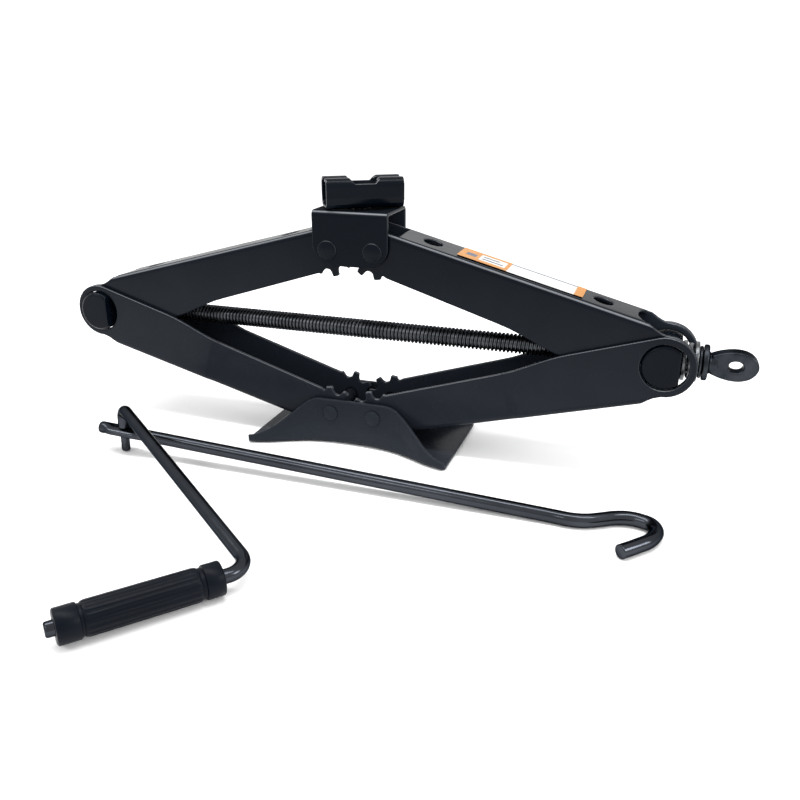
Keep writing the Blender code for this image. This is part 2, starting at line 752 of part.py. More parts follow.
def lead_screw(start, finish, parent):
    """Screw, collar and forged eye in one piece, along X from the left end to the eye."""
    left = -(2 * SPAN + SCREW_LEFT_END)
    collar = start
    neck_end = EYE_CENTRE - EYE_NECK_END + 0.0022
    profile = [
        (left, 0), (left, SCREW_RADIUS - 0.0012), (left + 0.0012, SCREW_RADIUS),
        (collar, SCREW_RADIUS), (collar, COLLAR_RADIUS - 0.0006), (collar + 0.0006, COLLAR_RADIUS),
        (collar + COLLAR_THICKNESS - 0.0008, COLLAR_RADIUS),
        (collar + COLLAR_THICKNESS, COLLAR_RADIUS - 0.0008),
        (collar + COLLAR_THICKNESS, NECK_RADIUS + 0.0012),
        (collar + COLLAR_THICKNESS + 0.0012, NECK_RADIUS), (neck_end, NECK_RADIUS), (neck_end, 0),
    ]
    obj = put("lead_screw", turned("lead_screw", profile, "X", 32), finish, parent)
    cut(obj, eye_mesh(), "UNION")
    hole = [
        (EYE_CENTRE + EYE_HOLE_HALF_LENGTH * cos(a), EYE_HOLE_HALF_HEIGHT * sin(a))
        for a in np.linspace(0, 2 * pi, 29)[:-1]
    ]
    cut(obj, prism("eye_hole", hole, -0.02, 0.02))
    return obj


def eye_mesh():
    """The eye's oval, drawn out to the neck and rounded over its edges."""
    bm = bmesh.new()
    rings = []
    half = EYE_THICKNESS / 2
    outline = list(EYE_EDGE) + [(0.0125, 0.0)] + [(x, -z) for x, z in reversed(EYE_EDGE)]
    layers = (
        (-1.0, 0.0018), (-0.80, 0.0007), (-0.45, 0.0), (0.45, 0.0), (0.80, 0.0007), (1.0, 0.0018),
    )
    for level, inset in layers:
        ring_points = []
        for x, z in outline:
            size = 1 - inset / 0.0090
            ring_points.append(bm.verts.new((EYE_CENTRE + x * size, half * level, z * size)))
        rings.append(ring_points)
    for first, second in zip(rings, rings[1:]):
        join_rings(bm, first, second)
    bm.faces.new(rings[0])
    bm.faces.new(rings[-1])
    return mesh_of("eye", bm)


# --- Label ------------------------------------------------------------------------------


def label(finish, parent):
    """A thin sticker on the web of the upper right arm."""
    bm = bmesh.new()
    corners = [
        (LABEL_FROM, -LABEL_REAR), (LABEL_TO, -LABEL_REAR), (LABEL_TO, LABEL_FRONT),
        (LABEL_FROM, LABEL_FRONT),
    ]
    rings = []
    for level in (GAP, GAP + LABEL_THICKNESS):
        rings.append([bm.verts.new((s, y, web_height(s) + level)) for s, y in corners])
    bm.faces.new(rings[0])
    bm.faces.new(rings[1])
    join_rings(bm, rings[0], rings[1])
    return put("rating_label", mesh_of("rating_label", bm), finish, parent)


# --- Crank handle -----------------------------------------------------------------------


def catmull(points, per_span):
    """A smooth curve through the points."""
    spans = []
    padded = [points[0] * 2 - points[1]] + points + [points[-1] * 2 - points[-2]]
    for i in range(1, len(padded) - 2):
        a, b, c, d = padded[i - 1:i + 3]
        for k in range(per_span):
            t = k / per_span
            spans.append(0.5 * (
                2 * b + (c - a) * t + (2 * a - 5 * b + 4 * c - d) * t * t
                + (3 * b - a - 3 * c + d) * t ** 3
            ))
    spans.append(points[-1])
    return spans


def hook_rod(finish, parent):
    """Straight rod, a hook bent flat on the floor at one end, a flattened eye at the other."""
    along = (HOOK_START - EYE_POINT).normalized()
    stub_end = EYE_POINT - along * ROD_STUB
    flat = [-EYE_LENGTH - 0.004, -EYE_LENGTH, 0.0, EYE_LENGTH, EYE_LENGTH + 0.006]
    route = [stub_end, stub_end + along * 0.0006] + [EYE_POINT + along * d for d in flat]
    route.append(EYE_POINT + along * 0.12)
    hook = [HOOK_START] + [Vector((x, y, HOOK_START.z)) for x, y in HOOK_ROUTE]
    curve = catmull([EYE_POINT + along * 0.25] + hook, 4)[2:]
    route += curve
    last = curve[-1] - curve[-2]
    route.append(curve[-1] + last.normalized() * 0.0006)

    def size(i):
        if i == 0 or i == len(route) - 1:
            return (0.86, 0.86)
        if 3 <= i <= 5:
            return (EYE_WIDTH / ROD_RADIUS, EYE_FLAT / ROD_RADIUS)
        return (1.0, 1.0)

    obj = put("hook_rod", sweep("hook_rod", route, ROD_RADIUS, 16, size), finish)
    profile = [(-0.02, 0), (-0.02, PIN_HOLE), (0.02, PIN_HOLE), (0.02, 0)]
    hole = put("cut_hook_rod_eye", turned("eye_hole", profile, "Z", 24), None)
    hole.matrix_world = crank_frame()
    hole.hide_render = True
    hole.display_type = "WIRE"
    step = obj.modifiers.new("eye_hole", "BOOLEAN")
    step.operation = "DIFFERENCE"
    step.solver = "EXACT"
    step.object = hole
    keep_world(obj, parent)
    return obj


def crank_frame():
    """Frame of the crank: origin at the rod's eye, Z up the pin, X along the lever."""
    level = Matrix.Rotation(radians(LEVER_HEADING), 4, "Z")
    drop = Matrix.Rotation(radians(LEVER_DROP), 4, "Y")
    return Matrix.Translation(EYE_POINT) @ level @ drop


def crank_points():
    """Corners of the crank's centreline, in its own frame."""
    turn = radians(GRIP_HEADING - LEVER_HEADING)
    top = Vector((0, 0, LEVER_RISE))
    end = Vector((LEVER_LENGTH, 0, LEVER_RISE))
    out = Vector((cos(turn), sin(turn), 0))
    return top, end, out


def crank_lever(finish, parent):
    top, end, out = crank_points()
    foot = Vector((0, 0, -PIN_BELOW))
    far = end + out * (GRIP_START + GRIP_LENGTH + GRIP_STUB)
    first = rounded_corner(foot, top, end, LEVER_BEND, 7)
    second = rounded_corner(top, end, far, GRIP_BEND, 7)
    narrow = PIN_RADIUS / LEVER_RADIUS
    route = [foot, foot + Vector((0, 0, 0.0008))]
    sizes = [narrow * 0.7, narrow]
    for rise, size in ((-0.0002, narrow), (0.0, 0.9), (0.0004, 1.0)):
        route.append(Vector((0, 0, SHOULDER + rise)))
        sizes.append(size)
    for point in first + second:
        route.append(point)
        sizes.append(1.0)
    for reach, size in ((far - out * 0.0010, 0.98), (far, 0.80)):
        route.append(reach)
        sizes.append(size)
    mesh = sweep("crank_lever", route, LEVER_RADIUS, 16, lambda i: (sizes[i], sizes[i]))
    return put("crank_lever", mesh, finish, parent)


def grip(finish, parent):
    """Moulded sleeve that turns on the crank's end, with collars, grooves and a ribbed middle."""
    top, end, out = crank_points()
    hole = LEVER_RADIUS + GAP
    r = GRIP_RADIUS
    n = GRIP_LENGTH
    profile = [
        (0, hole), (0, r - 0.0010), (0.0010, r), (0.0085, r), (0.0090, GRIP_GROOVE),
        (0.0110, GRIP_GROOVE), (0.0115, GRIP_WAIST), (n - 0.0125, GRIP_WAIST),
        (n - 0.0120, GRIP_GROOVE), (n - 0.0105, GRIP_GROOVE), (n - 0.0100, r),
        (n - 0.0012, r), (n, r - 0.0012), (n, hole),
    ]
    obj = put("grip", turned("grip", profile, "X", 40), finish, parent)
    level = Matrix.Translation(end + out * GRIP_START)
    ahead = Vector(out)
    side = Vector((0, 0, 1)).cross(ahead)
    turn = Matrix((ahead, side, Vector((0, 0, 1)))).transposed().to_4x4()
    obj.matrix_local = level @ turn
    return obj


def main():
    clear_scene()
    paint = material("satin_black_paint", (0.016, 0.021, 0.027), 0.34)
    bare = material("zinc_steel", (0.42, 0.43, 0.44), 0.35, 1.0)
    oiled = material("oiled_steel", (0.05, 0.052, 0.055), 0.32, 0.8)
    plastic = material("black_plastic", (0.020, 0.024, 0.028), 0.48)
    paper = material("label_film", (0.85, 0.45, 0.14), 0.45)

    base_plate(paint)
    lower_pins = {}
    for side, word in ((-1, "left"), (1, "right")):
        at = (side * PIN_HALF_SPACING, 0, BASE_PIN_Z)
        half = BASE_HALF_WIDTH + 0.0003 + GAP
        lower_pins[word] = pivot_pin(f"base_pivot_pin_{word}", at, half, 0.0053, 0.0012, paint)

    arms = {}
    for side, word in ((-1, "left"), (1, "right")):
        low = pivot(
            f"lower_{word}_joint", (side * PIN_HALF_SPACING, 0, BASE_PIN_Z), arm_frame(side, False)
        )
        arms[f"lower_{word}"] = arm(
            f"lower_arm_{word}", LOWER_HALF_WIDTH, LOWER_JOGGLE, low, ARM_LENGTH, paint, ()
        )
        high = pivot(f"upper_{word}_joint", (side * SPAN, 0, SCREW_Z), arm_frame(side, True))
        arms[f"upper_{word}"] = arm(
            f"upper_arm_{word}", UPPER_HALF_WIDTH, 0.0, high, 0.0, paint, WEB_HOLES_AT
        )
        if word == "right":
            label(paper, high)

    top = pivot("top_bracket_joint", (PIN_HALF_SPACING, 0, TOP_PIN_Z))
    top_bracket(paint, top)
    for side, word in ((-1, "left"), (1, "right")):
        at = ((side - 1) * PIN_HALF_SPACING, 0, 0)
        half = BRACKET_HALF_WIDTH + GAP
        pivot_pin(f"top_pivot_pin_{word}", at, half, 0.0064, 0.0009, paint, top)
    swivel = pivot("saddle_joint", (0, 0, 0), Matrix.Rotation(radians(SADDLE_TURN), 4, "Z"))
    saddle(paint, swivel)
    saddle_rivet(oiled, swivel)

    nut = pivot("trunnion_nut_joint", (-SPAN, 0, SCREW_Z))
    trunnion_nut(paint, nut)
    block = pivot("trunnion_block_joint", (SPAN, 0, SCREW_Z))
    trunnion_block(paint, block)
    place = BLOCK_FLAT + GAP
    ring("bearing_race_inner", place, RACE_THICKNESS, RACE_RADIUS, SCREW_HOLE, bare, block)
    place += RACE_THICKNESS + GAP
    ball_cage(place, bare, block)
    place += 2 * BALL_RADIUS + GAP
    ring("bearing_race_outer", place, RACE_THICKNESS, RACE_RADIUS, SCREW_HOLE, bare, block)
    place += RACE_THICKNESS + GAP
    ring("thrust_washer", place, WASHER_THICKNESS, WASHER_RADIUS, SCREW_HOLE, oiled, block)
    place += WASHER_THICKNESS + GAP
    screw = pivot("screw_joint", (SPAN, 0, SCREW_Z))
    lead_screw(place, oiled, screw)

    rod_pivot = pivot("hook_rod_joint", EYE_POINT)
    hook_rod(paint, rod_pivot)
    crank_pivot = pivot("crank_joint", (0, 0, 0))
    crank_pivot.matrix_world = crank_frame()
    crank_lever(paint, crank_pivot)
    grip(plastic, crank_pivot)


main()
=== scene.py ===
"""Scissor jack with its folding crank handle: finishes, fine pieces, light and camera.

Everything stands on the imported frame: places come from its nodes' boxes and its joints, and
the hook's route is in the frame's own coordinates. Lengths are in metres, angles in degrees.
"""

import json
from math import atan2, cos, pi, radians, sin

import bmesh
import bpy
from mathutils import Matrix, Vector


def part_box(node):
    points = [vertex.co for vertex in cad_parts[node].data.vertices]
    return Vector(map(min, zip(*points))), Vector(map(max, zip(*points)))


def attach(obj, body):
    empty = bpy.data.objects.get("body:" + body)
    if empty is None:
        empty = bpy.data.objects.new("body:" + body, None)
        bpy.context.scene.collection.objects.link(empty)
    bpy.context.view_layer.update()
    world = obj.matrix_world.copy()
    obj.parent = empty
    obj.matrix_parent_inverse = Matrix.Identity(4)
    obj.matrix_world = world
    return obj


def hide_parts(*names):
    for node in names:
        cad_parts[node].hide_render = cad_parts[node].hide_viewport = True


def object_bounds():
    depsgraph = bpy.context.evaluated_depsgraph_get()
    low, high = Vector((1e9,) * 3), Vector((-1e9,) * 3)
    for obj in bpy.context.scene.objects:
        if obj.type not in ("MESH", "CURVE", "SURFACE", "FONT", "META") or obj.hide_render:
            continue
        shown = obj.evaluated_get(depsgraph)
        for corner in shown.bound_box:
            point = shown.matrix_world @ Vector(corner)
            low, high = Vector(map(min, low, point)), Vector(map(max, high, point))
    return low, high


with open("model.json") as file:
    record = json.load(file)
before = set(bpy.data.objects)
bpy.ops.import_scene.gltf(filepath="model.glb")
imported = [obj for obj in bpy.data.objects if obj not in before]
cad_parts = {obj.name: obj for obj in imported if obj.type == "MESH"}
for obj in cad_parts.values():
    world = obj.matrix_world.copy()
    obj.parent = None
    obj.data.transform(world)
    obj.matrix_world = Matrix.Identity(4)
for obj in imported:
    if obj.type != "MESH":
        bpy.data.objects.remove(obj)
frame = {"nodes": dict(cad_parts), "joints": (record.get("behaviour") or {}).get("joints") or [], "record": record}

cad_low, cad_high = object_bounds()
nodes = frame["nodes"]
joints = {joint["name"]: joint for joint in frame["joints"]}
slots = {part["node"]: part["material_slot"] for part in frame["record"]["subparts"]}

# Pressed and turned pieces: voxel size and smoothing passes that round their edges.
SOFTENED = {
    "base_plate": (0.00058, 4),
    "lower_arm_left": (0.00058, 4),
    "lower_arm_right": (0.00058, 4),
    "upper_arm_left": (0.00055, 4),
    "upper_arm_right": (0.00055, 4),
    "top_bracket": (0.00045, 8),
    "saddle": (0.00034, 6),
    "saddle_rivet": (0.00030, 4),
    "base_pivot_pin_left": (0.00032, 8),
    "base_pivot_pin_right": (0.00032, 8),
    "top_pivot_pin_left": (0.00032, 8),
    "top_pivot_pin_right": (0.00032, 8),
    "trunnion_nut": (0.00045, 4),
    "trunnion_block": (0.00045, 4),
    "bearing_race_inner": (0.00025, 3),
    "bearing_race_outer": (0.00025, 3),
    "thrust_washer": (0.00025, 3),
}

# Lead screw: thread, left tip, collar, neck and the forged eye's half outline with its hole.
# The tip's chamfer is (along, deep), and the neck's fillet is in (along, above the neck).
THREAD_PITCH = 0.0025
THREAD_DEPTH = 0.0012
THREAD_SIDES = 28
THREAD_PROFILE = (0.0, 0.0, 0.5, 1.0, 1.0, 1.0, 0.5, 0.0)
SCREW_RADIUS = 0.0062
THREAD_START = 0.0006
THREAD_STOP = 0.0004
TIP_LENGTH = 0.0040
TIP_ABOVE_ROOT = 0.0006
TIP_CHAMFER = (0.0008, 0.0010)
TIP_SHOULDER = 0.0004
SHANK_LENGTH = 0.012
COLLAR_GAP = 0.0003
COLLAR_RADIUS = 0.0106
COLLAR_THICKNESS = 0.0032
COLLAR_LEFT_BEVEL = 0.0005
COLLAR_RIGHT_BEVEL = 0.0007
NECK_RADIUS = 0.0058
NECK_FILLET = ((0.0002, 0.0010), (0.0012, 0.0))
NECK_TAPER = 0.0004
EYE_AHEAD = 0.0386
EYE_NECK_END = 0.0100
EYE_HALF_THICKNESS = 0.0045
EYE_EDGE = (
    (-0.0136, 0.0057), (-0.0090, 0.0074), (-0.0045, 0.0085), (0.0000, 0.0089),
    (0.0040, 0.0085), (0.0080, 0.0070), (0.0108, 0.0045), (0.0122, 0.0019),
)
EYE_TIP = 0.0126
EYE_HOLE = (0.0040, 0.0032)
EYE_ROUNDING = 0.30
EYE_CURVE_STEPS = 5
EYE_SECTION_STEPS = 20
FORGING_VOXEL = 0.00032
FORGING_PASSES = 6

# Ball bearing.
BALLS = 10
BALL_RADIUS = 0.0019
BALL_CIRCLE = 0.0091
CAGE_HALF_THICKNESS = 0.0007
CAGE_HALF_WIDTH = 0.0016
CAGE_STEPS = 72

# Label: the CAD film's thickness, shares of its length where the print changes, and its
# panels as (start, end, near, far, thickness, film), the first four as shares of the label.
LABEL_FILM = 0.0003
LABEL_ORANGE_TO = 0.40
LABEL_WHITE_TO = 0.93
LABEL_ORANGE, LABEL_WHITE, LABEL_GREY = range(3)
LABEL_PANELS = (
    (0.0, 1.0, 0.0, 1.0, 0.00012, LABEL_WHITE),
    (0.0, LABEL_ORANGE_TO, 0.0, 1.0, 0.00018, LABEL_ORANGE),
    (LABEL_WHITE_TO, 1.0, 0.0, 1.0, 0.00018, LABEL_ORANGE),
    (LABEL_ORANGE_TO, LABEL_WHITE_TO, 0.86, 0.93, 0.00018, LABEL_GREY),
    (0.16, 0.37, 0.22, 0.80, 0.00022, LABEL_WHITE),
    (0.18, 0.35, 0.34, 0.44, 0.00025, LABEL_GREY),
    (0.18, 0.31, 0.58, 0.68, 0.00025, LABEL_GREY),
    (0.05, 0.13, 0.34, 0.62, 0.00022, LABEL_GREY),
)

# Crank handle: rod with its hook and flattened eye, lever with its pin, and grip.
# The rounding of an end is in (distance along the rod, share of its radius), and the route is
# in (x, y) at the hook's own height.
ROD_RADIUS = 0.004
LEVER_RADIUS = 0.0037
ROD_SIDES = 40
HOOK_START = Vector((0.1403, -0.0792, 0.0040))
HOOK_ROUTE = (
    (0.1508, -0.0801), (0.1573, -0.0797), (0.1635, -0.0777), (0.1696, -0.0742),
    (0.1757, -0.0706), (0.1820, -0.0686), (0.1888, -0.0690), (0.1955, -0.0722),
    (0.1983, -0.0796), (0.1955, -0.0890), (0.1895, -0.0964), (0.1818, -0.1048),
)
ROD_STUB = 0.0180
ROD_EYE_END = ((0.0, 0.80), (0.0004, 0.94), (0.0010, 1.0))
ROD_HOOK_END = ((0.0003, 0.93), (0.0006, 0.78))
ROD_STRAIGHT = (0.12, 0.25)
FLAT_SIZE = (0.0064, 0.0030)
FLAT_START = -0.0145
FLAT_SPAN = 0.030
FLAT_STEPS = 24
FLAT_REACH = 0.0150
FLAT_BLEND = 0.0070
HOOK_STEPS = 8
BEND_STEPS = 16
LEVER_RISE = 0.0180
LEVER_BEND = 0.0080
GRIP_BEND = 0.0112
LEVER_END = ((0.0010, 1.0), (0.0004, 0.93), (0.0, 0.78))
PIN_RADIUS = 0.0028
PIN_BELOW = 0.0141
PIN_END = ((0.0, 0.62), (0.0004, 0.90), (0.0009, 1.0))
PIN_GAP = 0.0003
BORE_REACH = 0.02
SHOULDER = 0.0038
SHOULDER_STEPS = ((-0.0003, PIN_RADIUS), (0.0, 0.0034), (0.0004, LEVER_RADIUS))
GRIP_START = 0.0154
GRIP_LENGTH = 0.0755
GRIP_STUB = 0.0040
GRIP_CLEARANCE = 0.00025
GRIP_RADIUS = 0.0085
GRIP_WAIST = 0.0081
GRIP_GROOVE = 0.0075
GRIP_RIBS = 16
GRIP_RIB_HEIGHT = 0.0003
GRIP_RIB_STEPS = 10

# Camera, floor, surroundings and lamps. The lens and the sensor are in millimetres, and a lamp
# is (place, size across and along, watts).
CAMERA_AT = (0.1918, -0.4821, 0.2327)
CAMERA_TARGET = (0.02665, 0.0, 0.0281)
CAMERA_LENS = 36.83
CAMERA_SENSOR = 36.0
CAMERA_ROLL = -0.12
CAMERA_NEAR = 0.01
FLOOR_SIZE = 6.0
FLOOR_GAP = 0.0002
FLOOR_WHITE = 0.97
FLOOR_ROUGHNESS = 0.9
WORLD_STRENGTH = 1.10
LAMP_TARGET = (0.0, 0.0, 0.08)
KEY_LAMP = ((1.1, -0.15, 0.55), (0.35, 0.35), 5.0)
BACK_LAMP = ((-0.35, 1.30, 0.85), (0.9, 0.9), 1.2)
STRIP_LAMP = ((-0.20, -0.16, 1.15), (1.8, 0.20), 14.0)
FRONT_LAMP = ((-0.60, -1.10, 0.95), (0.80, 0.22), 4.0)

# Paint colours. Each coat is two mottled shades. One coat is for pieces low down, and a darker
# copy of it is painted shade for those high up; one is for the base. The rest are painted light
# on insides, wear with a painted highlight on upper edges, and a painted highlight along bends.
LOWER_COAT = ((0.0100, 0.0124, 0.0174), (0.0146, 0.0176, 0.0236))
UPPER_PAINTED_SHADE = ((0.0002, 0.0014, 0.0036), (0.0018, 0.0034, 0.0062))
BASE_COAT = ((0.0150, 0.0176, 0.0230), (0.0200, 0.0232, 0.0294))
INSIDE_PAINTED_LIGHT = (0.0155, 0.0195, 0.0270)
PAINT_EDGE_WEAR_AND_HIGHLIGHT = (0.095, 0.102, 0.115)
BASE_EDGE_WEAR_AND_HIGHLIGHT = (0.020, 0.023, 0.029)
PAINT_BEND_HIGHLIGHT = (0.150, 0.160, 0.175)

# Shine of each finish.
PAINT_SPECULAR = 0.08
BASE_SPECULAR = 0.04
BRACKET_SPECULAR = 0.06
DULL_ROUGHNESS = 0.90
PLASTIC_SPECULAR = 0.09
FILM_SPECULAR = 0.12
GLANCING_TINT = (0.36, 0.36, 0.36, 1.0)

# Where a finish changes: height (painted shade high up), place times normal across the jack
# (negative inside, where painted light goes), the normal's Y times Z (lowest at bends, for the
# painted highlight), the normal's Z on tops and on upward faces, pointiness (for wear with a
# painted highlight on paint, for wear on steel).
PAINTED_SHADE_HEIGHTS = (0.0, 0.135)
INWARD_PAINTED_TONE = (-0.010, -0.003)
BEND_HIGHLIGHTS = (-0.492, -0.425)
TOPS = (0.75, 0.95)
LOOKING_UP = (-0.35, 0.10)
PAINT_WEAR_AND_HIGHLIGHT = (0.525, 0.60)
STEEL_WORN = (0.52, 0.62)


# --- Materials --------------------------------------------------------------------------


def node_material(name):
    """A new material with its Principled shader."""
    made = bpy.data.materials.new(name)
    made.use_nodes = True
    return made, made.node_tree, made.node_tree.nodes["Principled BSDF"]


def object_noise(tree, scale, detail=3.0, roughness=0.5, stretch=None):
    """Noise on the object's own coordinates, optionally stretched along its axes."""
    coords = tree.nodes.new("ShaderNodeTexCoord")
    noise = tree.nodes.new("ShaderNodeTexNoise")
    noise.inputs["Scale"].default_value = scale
    noise.inputs["Detail"].default_value = detail
    noise.inputs["Roughness"].default_value = roughness
    source = coords.outputs["Object"]
    if stretch is not None:
        mapping = tree.nodes.new("ShaderNodeMapping")
        mapping.inputs["Scale"].default_value = stretch
        tree.links.new(source, mapping.inputs["Vector"])
        source = mapping.outputs["Vector"]
    tree.links.new(source, noise.inputs["Vector"])
    return noise.outputs["Fac"]


def spread(tree, value, low, high, to_low, to_high):
    """The value from low..high brought to to_low..to_high, and held there outside it."""
    change = tree.nodes.new("ShaderNodeMapRange")
    change.inputs["From Min"].default_value = low
    change.inputs["From Max"].default_value = high
    change.inputs["To Min"].default_value = to_low
    change.inputs["To Max"].default_value = to_high
    tree.links.new(value, change.inputs["Value"])
    return change.outputs["Result"]


def blend_colours(tree, share, first, second):
    """A mix of two colours. Each is a colour or another mix's output."""
    mix = tree.nodes.new("ShaderNodeMix")
    mix.data_type = "RGBA"
    tree.links.new(share, mix.inputs["Factor"])
    for value, socket in ((first, mix.inputs["A"]), (second, mix.inputs["B"])):
        if isinstance(value, tuple):
            socket.default_value = (*value, 1.0)
        else:
            tree.links.new(value, socket)
    return mix.outputs["Result"]


def patches(tree, scale, detail):
    """Soft patches from 0 to 1, from the middle of a noise."""
    return spread(tree, object_noise(tree, scale, detail), 0.35, 0.65, 0.0, 1.0)


def streaks(tree, noise, low, high):
    """A noise brought to low..high, for an uneven roughness."""
    return spread(tree, noise, 0.3, 0.7, low, high)


def bump(tree, shader, height, strength, distance):
    """Fine relief in the shader's normal."""
    step = tree.nodes.new("ShaderNodeBump")
    step.inputs["Strength"].default_value = strength
    step.inputs["Distance"].default_value = distance
    tree.links.new(height, step.inputs["Height"])
    tree.links.new(step.outputs["Normal"], shader.inputs["Normal"])


def along_axis(tree, kind, axis):
    """One coordinate of the object's own place or normal."""
    coords = tree.nodes.new("ShaderNodeTexCoord")
    split = tree.nodes.new("ShaderNodeSeparateXYZ")
    tree.links.new(coords.outputs[kind], split.inputs["Vector"])
    return split.outputs[axis]


def combined(tree, operation, first, second):
    """Two values joined by a Math node's operation."""
    joined = tree.nodes.new("ShaderNodeMath")
    joined.operation = operation
    tree.links.new(first, joined.inputs[0])
    tree.links.new(second, joined.inputs[1])
    return joined.outputs["Value"]


def convex_edges(tree, low, high):
    """0 on flats and 1 along outer edges, from the surface's own curvature."""
    geometry = tree.nodes.new("ShaderNodeNewGeometry")
    return spread(tree, geometry.outputs["Pointiness"], low, high, 0.0, 1.0)


def paint(name, low_coat, painted_inside_tone, edge, specular, bend_highlight=None, dull_top=False):
    """Blue-black paint: soft mottling, orange peel, painted shade high up, painted light inside,
    upper edges lightened by wear and a painted highlight.

    The bend highlight is the colour of the painted highlight along bends between a top and a
    front face. A dull top is rough on its upward faces.
    A dull top is rough on its upward faces.
    """
    made, tree, shader = node_material(name)
    mottle = patches(tree, 13, 4)
    lower = blend_colours(tree, mottle, *low_coat)
    # The darker upper coat is painted shade, blended in with height.
    upper = blend_colours(tree, mottle, *UPPER_PAINTED_SHADE)
    high = spread(tree, along_axis(tree, "Object", "Z"), *PAINTED_SHADE_HEIGHTS, 0.0, 1.0)
    body = blend_colours(tree, high, lower, upper)
    # Inside faces get a painted tone: painted light in the jack's paints, and the base's darker shade as painted
    # shade on the base.
    facing = combined(
        tree, "MULTIPLY", along_axis(tree, "Object", "Y"), along_axis(tree, "Normal", "Y")
    )
    painted_inside_share = spread(tree, facing, *INWARD_PAINTED_TONE, 1.0, 0.0)
    body = blend_colours(tree, painted_inside_share, body, painted_inside_tone)
    # Painted highlight along bends between a top and a front face.
    if bend_highlight is not None:
        turning = combined(
            tree, "MULTIPLY", along_axis(tree, "Normal", "Y"), along_axis(tree, "Normal", "Z")
        )
        bend_highlight_share = spread(tree, turning, *BEND_HIGHLIGHTS, 1.0, 0.0)
        body = blend_colours(tree, bend_highlight_share, body, bend_highlight)
    # Convex edges that don't face down are lightened: wear and a painted highlight.
    rising = spread(tree, along_axis(tree, "Normal", "Z"), *LOOKING_UP, 0.0, 1.0)
    worn = combined(tree, "MULTIPLY", convex_edges(tree, *PAINT_WEAR_AND_HIGHLIGHT), rising)
    tree.links.new(blend_colours(tree, worn, body, edge), shader.inputs["Base Color"])
    shader.inputs["Specular IOR Level"].default_value = specular
    rough = streaks(tree, object_noise(tree, 60, 3), 0.22, 0.30)
    if dull_top:
        top = spread(tree, along_axis(tree, "Normal", "Z"), *TOPS, 0.0, DULL_ROUGHNESS)
        rough = combined(tree, "MAXIMUM", rough, top)
    tree.links.new(rough, shader.inputs["Roughness"])
    bump(tree, shader, object_noise(tree, 520, 2), 0.10, 0.0002)
    return made


def rod_paint():
    """Glossy blue-black coat on the crank's rods, with a dimmed glancing sheen."""
    made, tree, shader = node_material("gloss_black_paint")
    shader.inputs["Metallic"].default_value = 1.0
    shader.inputs["Specular Tint"].default_value = GLANCING_TINT
    coat = blend_colours(
        tree, patches(tree, 30, 4), (0.032, 0.035, 0.041), (0.044, 0.048, 0.056)
    )
    tree.links.new(coat, shader.inputs["Base Color"])
    rough = streaks(tree, object_noise(tree, 60, 3), 0.15, 0.24)
    tree.links.new(rough, shader.inputs["Roughness"])
    bump(tree, shader, object_noise(tree, 420, 2), 0.10, 0.0002)
    return made


def bearing_steel():
    """Turned bearing steel under a thin film of oil, its grain round the screw's axis."""
    made, tree, shader = node_material("bearing_steel")
    shader.inputs["Metallic"].default_value = 1.0
    film = blend_colours(
        tree, patches(tree, 220, 3), (0.07, 0.074, 0.078), (0.13, 0.135, 0.14)
    )
    tree.links.new(film, shader.inputs["Base Color"])
    rough = streaks(tree, object_noise(tree, 900, 2, 0.6, (0.1, 1.0, 1.0)), 0.24, 0.40)
    tree.links.new(rough, shader.inputs["Roughness"])
    return made


def oiled_steel(name, dark, light, edge):
    """Dark phosphated steel with a film of oil, worn lighter on its edges."""
    made, tree, shader = node_material(name)
    shader.inputs["Metallic"].default_value = 1.0
    shader.inputs["Specular Tint"].default_value = GLANCING_TINT
    body = blend_colours(tree, patches(tree, 90, 4), dark, light)
    worn = blend_colours(tree, convex_edges(tree, *STEEL_WORN), body, edge)
    tree.links.new(worn, shader.inputs["Base Color"])
    rough = streaks(tree, object_noise(tree, 140, 3), 0.26, 0.42)
    tree.links.new(rough, shader.inputs["Roughness"])
    bump(tree, shader, object_noise(tree, 700, 3), 0.15, 0.0002)
    return made


def grip_plastic():
    """Moulded black plastic with a fine matt texture."""
    made, tree, shader = node_material("grip_plastic")
    shader.inputs["Specular IOR Level"].default_value = PLASTIC_SPECULAR
    shade = blend_colours(
        tree, patches(tree, 50, 3), (0.0004, 0.0016, 0.0044), (0.0010, 0.0024, 0.0056)
    )
    tree.links.new(shade, shader.inputs["Base Color"])
    rough = streaks(tree, object_noise(tree, 300, 2), 0.36, 0.46)
    tree.links.new(rough, shader.inputs["Roughness"])
    bump(tree, shader, object_noise(tree, 1400, 2), 0.12, 0.0001)
    return made


def printed_film(name, colour, faded):
    """A printed sticker film with a soft gloss and slight fading."""
    made, tree, shader = node_material(name)
    shader.inputs["Specular IOR Level"].default_value = FILM_SPECULAR
    shade = blend_colours(tree, patches(tree, 120, 3), colour, faded)
    tree.links.new(shade, shader.inputs["Base Color"])
    rough = streaks(tree, object_noise(tree, 260, 2), 0.28, 0.40)
    tree.links.new(rough, shader.inputs["Roughness"])
    return made


# Both jack paints carry painted shade high up, painted light inside, upper edges lightened by wear and a painted
# highlight, and a painted highlight along bends.
PAINT = paint(
    "satin_black_paint", LOWER_COAT, INSIDE_PAINTED_LIGHT, PAINT_EDGE_WEAR_AND_HIGHLIGHT, PAINT_SPECULAR, PAINT_BEND_HIGHLIGHT
)
BRACKET_PAINT = paint(
    "bracket_black_paint", LOWER_COAT, INSIDE_PAINTED_LIGHT, PAINT_EDGE_WEAR_AND_HIGHLIGHT, BRACKET_SPECULAR, PAINT_BEND_HIGHLIGHT,
    dull_top=True,
)
# On the base, insides take the coat's darker shade as painted shade, and edges get a faint wear and painted
# highlight.
BASE_PAINT = paint("base_black_paint", BASE_COAT, BASE_COAT[0], BASE_EDGE_WEAR_AND_HIGHLIGHT, BASE_SPECULAR)
